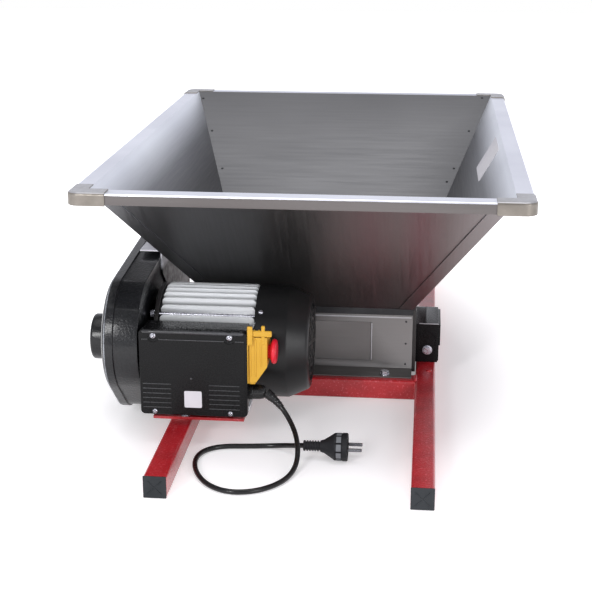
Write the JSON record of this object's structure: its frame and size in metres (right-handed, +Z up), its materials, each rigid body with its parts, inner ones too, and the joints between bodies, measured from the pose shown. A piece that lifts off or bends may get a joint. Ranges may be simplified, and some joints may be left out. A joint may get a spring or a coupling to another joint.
{
  "type": "grape crusher",
  "caption": "Motorised two-roller grape crusher: wide sheet-metal hopper over a lobed-roller box on two long square rails, with side belt drive, junction box, switch and mains lead.",
  "frame": {"origin": "on the floor under the middle of the hopper, at the underside of the rails", "axes": "+Z up, +Y along the rails towards the rear, -Y the side with the motor and its lead, +X towards the timing gear cover"},
  "size_m": [0.6135, 1.173, 0.3618],
  "materials": {
    "stainless": "satin",
    "frame_red": "gloss",
    "black_plastic": "satin",
    "black_paint": "satin",
    "motor_aluminium": "satin",
    "roller_aluminium": "satin",
    "steel": "satin",
    "pulley_iron": "matte",
    "zinc_plate": "satin",
    "bronze": "satin",
    "yellow_plastic": "gloss",
    "red_plastic": "gloss",
    "green_plastic": "gloss",
    "black_rubber": "satin",
    "pin_metal": "gloss"
  },
  "bodies": {
    "frame": {"box_front_wall": "stainless", "box_rear_wall": "stainless", "cable_gland": "black_plastic", "casing_inner": "black_plastic", "casing_outer": "black_plastic", "crossbars": "frame_red", "drive_belt": "black_rubber", "drive_bracket": "zinc_plate", "fan_cover": "black_plastic", "frame_bolts": "zinc_plate", "gear_cover": "black_plastic", "guide_plates": "stainless", "hopper_front": "stainless", "hopper_left": "stainless", "hopper_rear": "stainless", "hopper_right": "stainless", "junction_box_body": "black_plastic", "junction_box_gasket": "black_rubber", "junction_box_lid": "black_plastic", "lid_screws": "zinc_plate", "mains_cord": "black_rubber", "motor_base_plate": "frame_red", "motor_housing": "motor_aluminium", "motor_shield_left": "black_paint", "motor_shield_right": "black_paint", "motor_stator": "steel", "plug_body": "black_rubber", "plug_pins": "pin_metal", "rail_end_caps": "black_plastic", "rail_left": "frame_red", "rail_right": "frame_red", "rim_corners": "stainless", "roller_bushes": "bronze", "run_capacitor": "motor_aluminium", "shaft_bearings": "steel", "side_plate_left": "black_paint", "side_plate_right": "black_paint", "switch_base": "yellow_plastic", "switch_hinge_pin": "steel", "switch_module": "black_plastic", "terminal_block": "black_plastic", "tie_rods": "steel"},
    "drive_roller_set": {"drive_roller": "roller_aluminium", "drive_shaft": "steel", "drive_timing_gear": "steel", "roller_gear": "steel"},
    "driven_roller_set": {"driven_roller": "roller_aluminium", "driven_shaft": "steel", "driven_timing_gear": "steel"},
    "layshaft_set": {"layshaft": "steel", "layshaft_pinion": "steel", "layshaft_pulley": "pulley_iron"},
    "motor_rotor_set": {"motor_rotor": "steel", "motor_fan": "black_plastic", "motor_pulley": "pulley_iron"},
    "switch_lid": {"switch_flap": "yellow_plastic"},
    "stop_mushroom_body": {"stop_mushroom": "red_plastic"},
    "stop_button_body": {"stop_button": "red_plastic"},
    "start_button_body": {"start_button": "green_plastic"}
  },
  "joints": [
    {"name": "drive_roller_spin", "type": "hinge", "parent": "frame", "child": "drive_roller_set", "pos_m": [0, -0.101, 0.0592], "axis": [1, 0, 0], "continuous": true},
    {"name": "driven_roller_spin", "type": "hinge", "parent": "frame", "child": "driven_roller_set", "pos_m": [0, -0.049, 0.0592], "axis": [1, 0, 0], "continuous": true},
    {"name": "layshaft_spin", "type": "hinge", "parent": "frame", "child": "layshaft_set", "pos_m": [0, -0.137, 0.12155], "axis": [1, 0, 0], "continuous": true},
    {"name": "motor_spin", "type": "hinge", "parent": "frame", "child": "motor_rotor_set", "pos_m": [0, -0.294, 0.114], "axis": [1, 0, 0], "continuous": true},
    {"name": "switch_lid_hinge", "type": "hinge", "parent": "frame", "child": "switch_lid", "pos_m": [-0.066, -0.3975, 0.166], "axis": [0, -1, 0], "range_deg": [0, 105]},
    {"name": "stop_mushroom_press", "type": "slide", "parent": "switch_lid", "child": "stop_mushroom_body", "axis": [-1, 0, 0], "range_m": [0, 0.003], "stiffness_N_per_m": 250},
    {"name": "stop_button_press", "type": "slide", "parent": "frame", "child": "stop_button_body", "axis": [-1, 0, 0], "range_m": [0, 0.003], "stiffness_N_per_m": 250},
    {"name": "start_button_press", "type": "slide", "parent": "frame", "child": "start_button_body", "axis": [-1, 0, 0], "range_m": [0, 0.003], "stiffness_N_per_m": 250}
  ],
  "couplings": [
    {"joint": "driven_roller_spin", "follows": "drive_roller_spin", "ratio": -1},
    {"joint": "layshaft_spin", "follows": "drive_roller_spin", "ratio": -2.6},
    {"joint": "motor_spin", "follows": "drive_roller_spin", "ratio": -10.4},
    {"joint": "stop_button_press", "follows": "stop_mushroom_press", "ratio": 1}
  ]
}
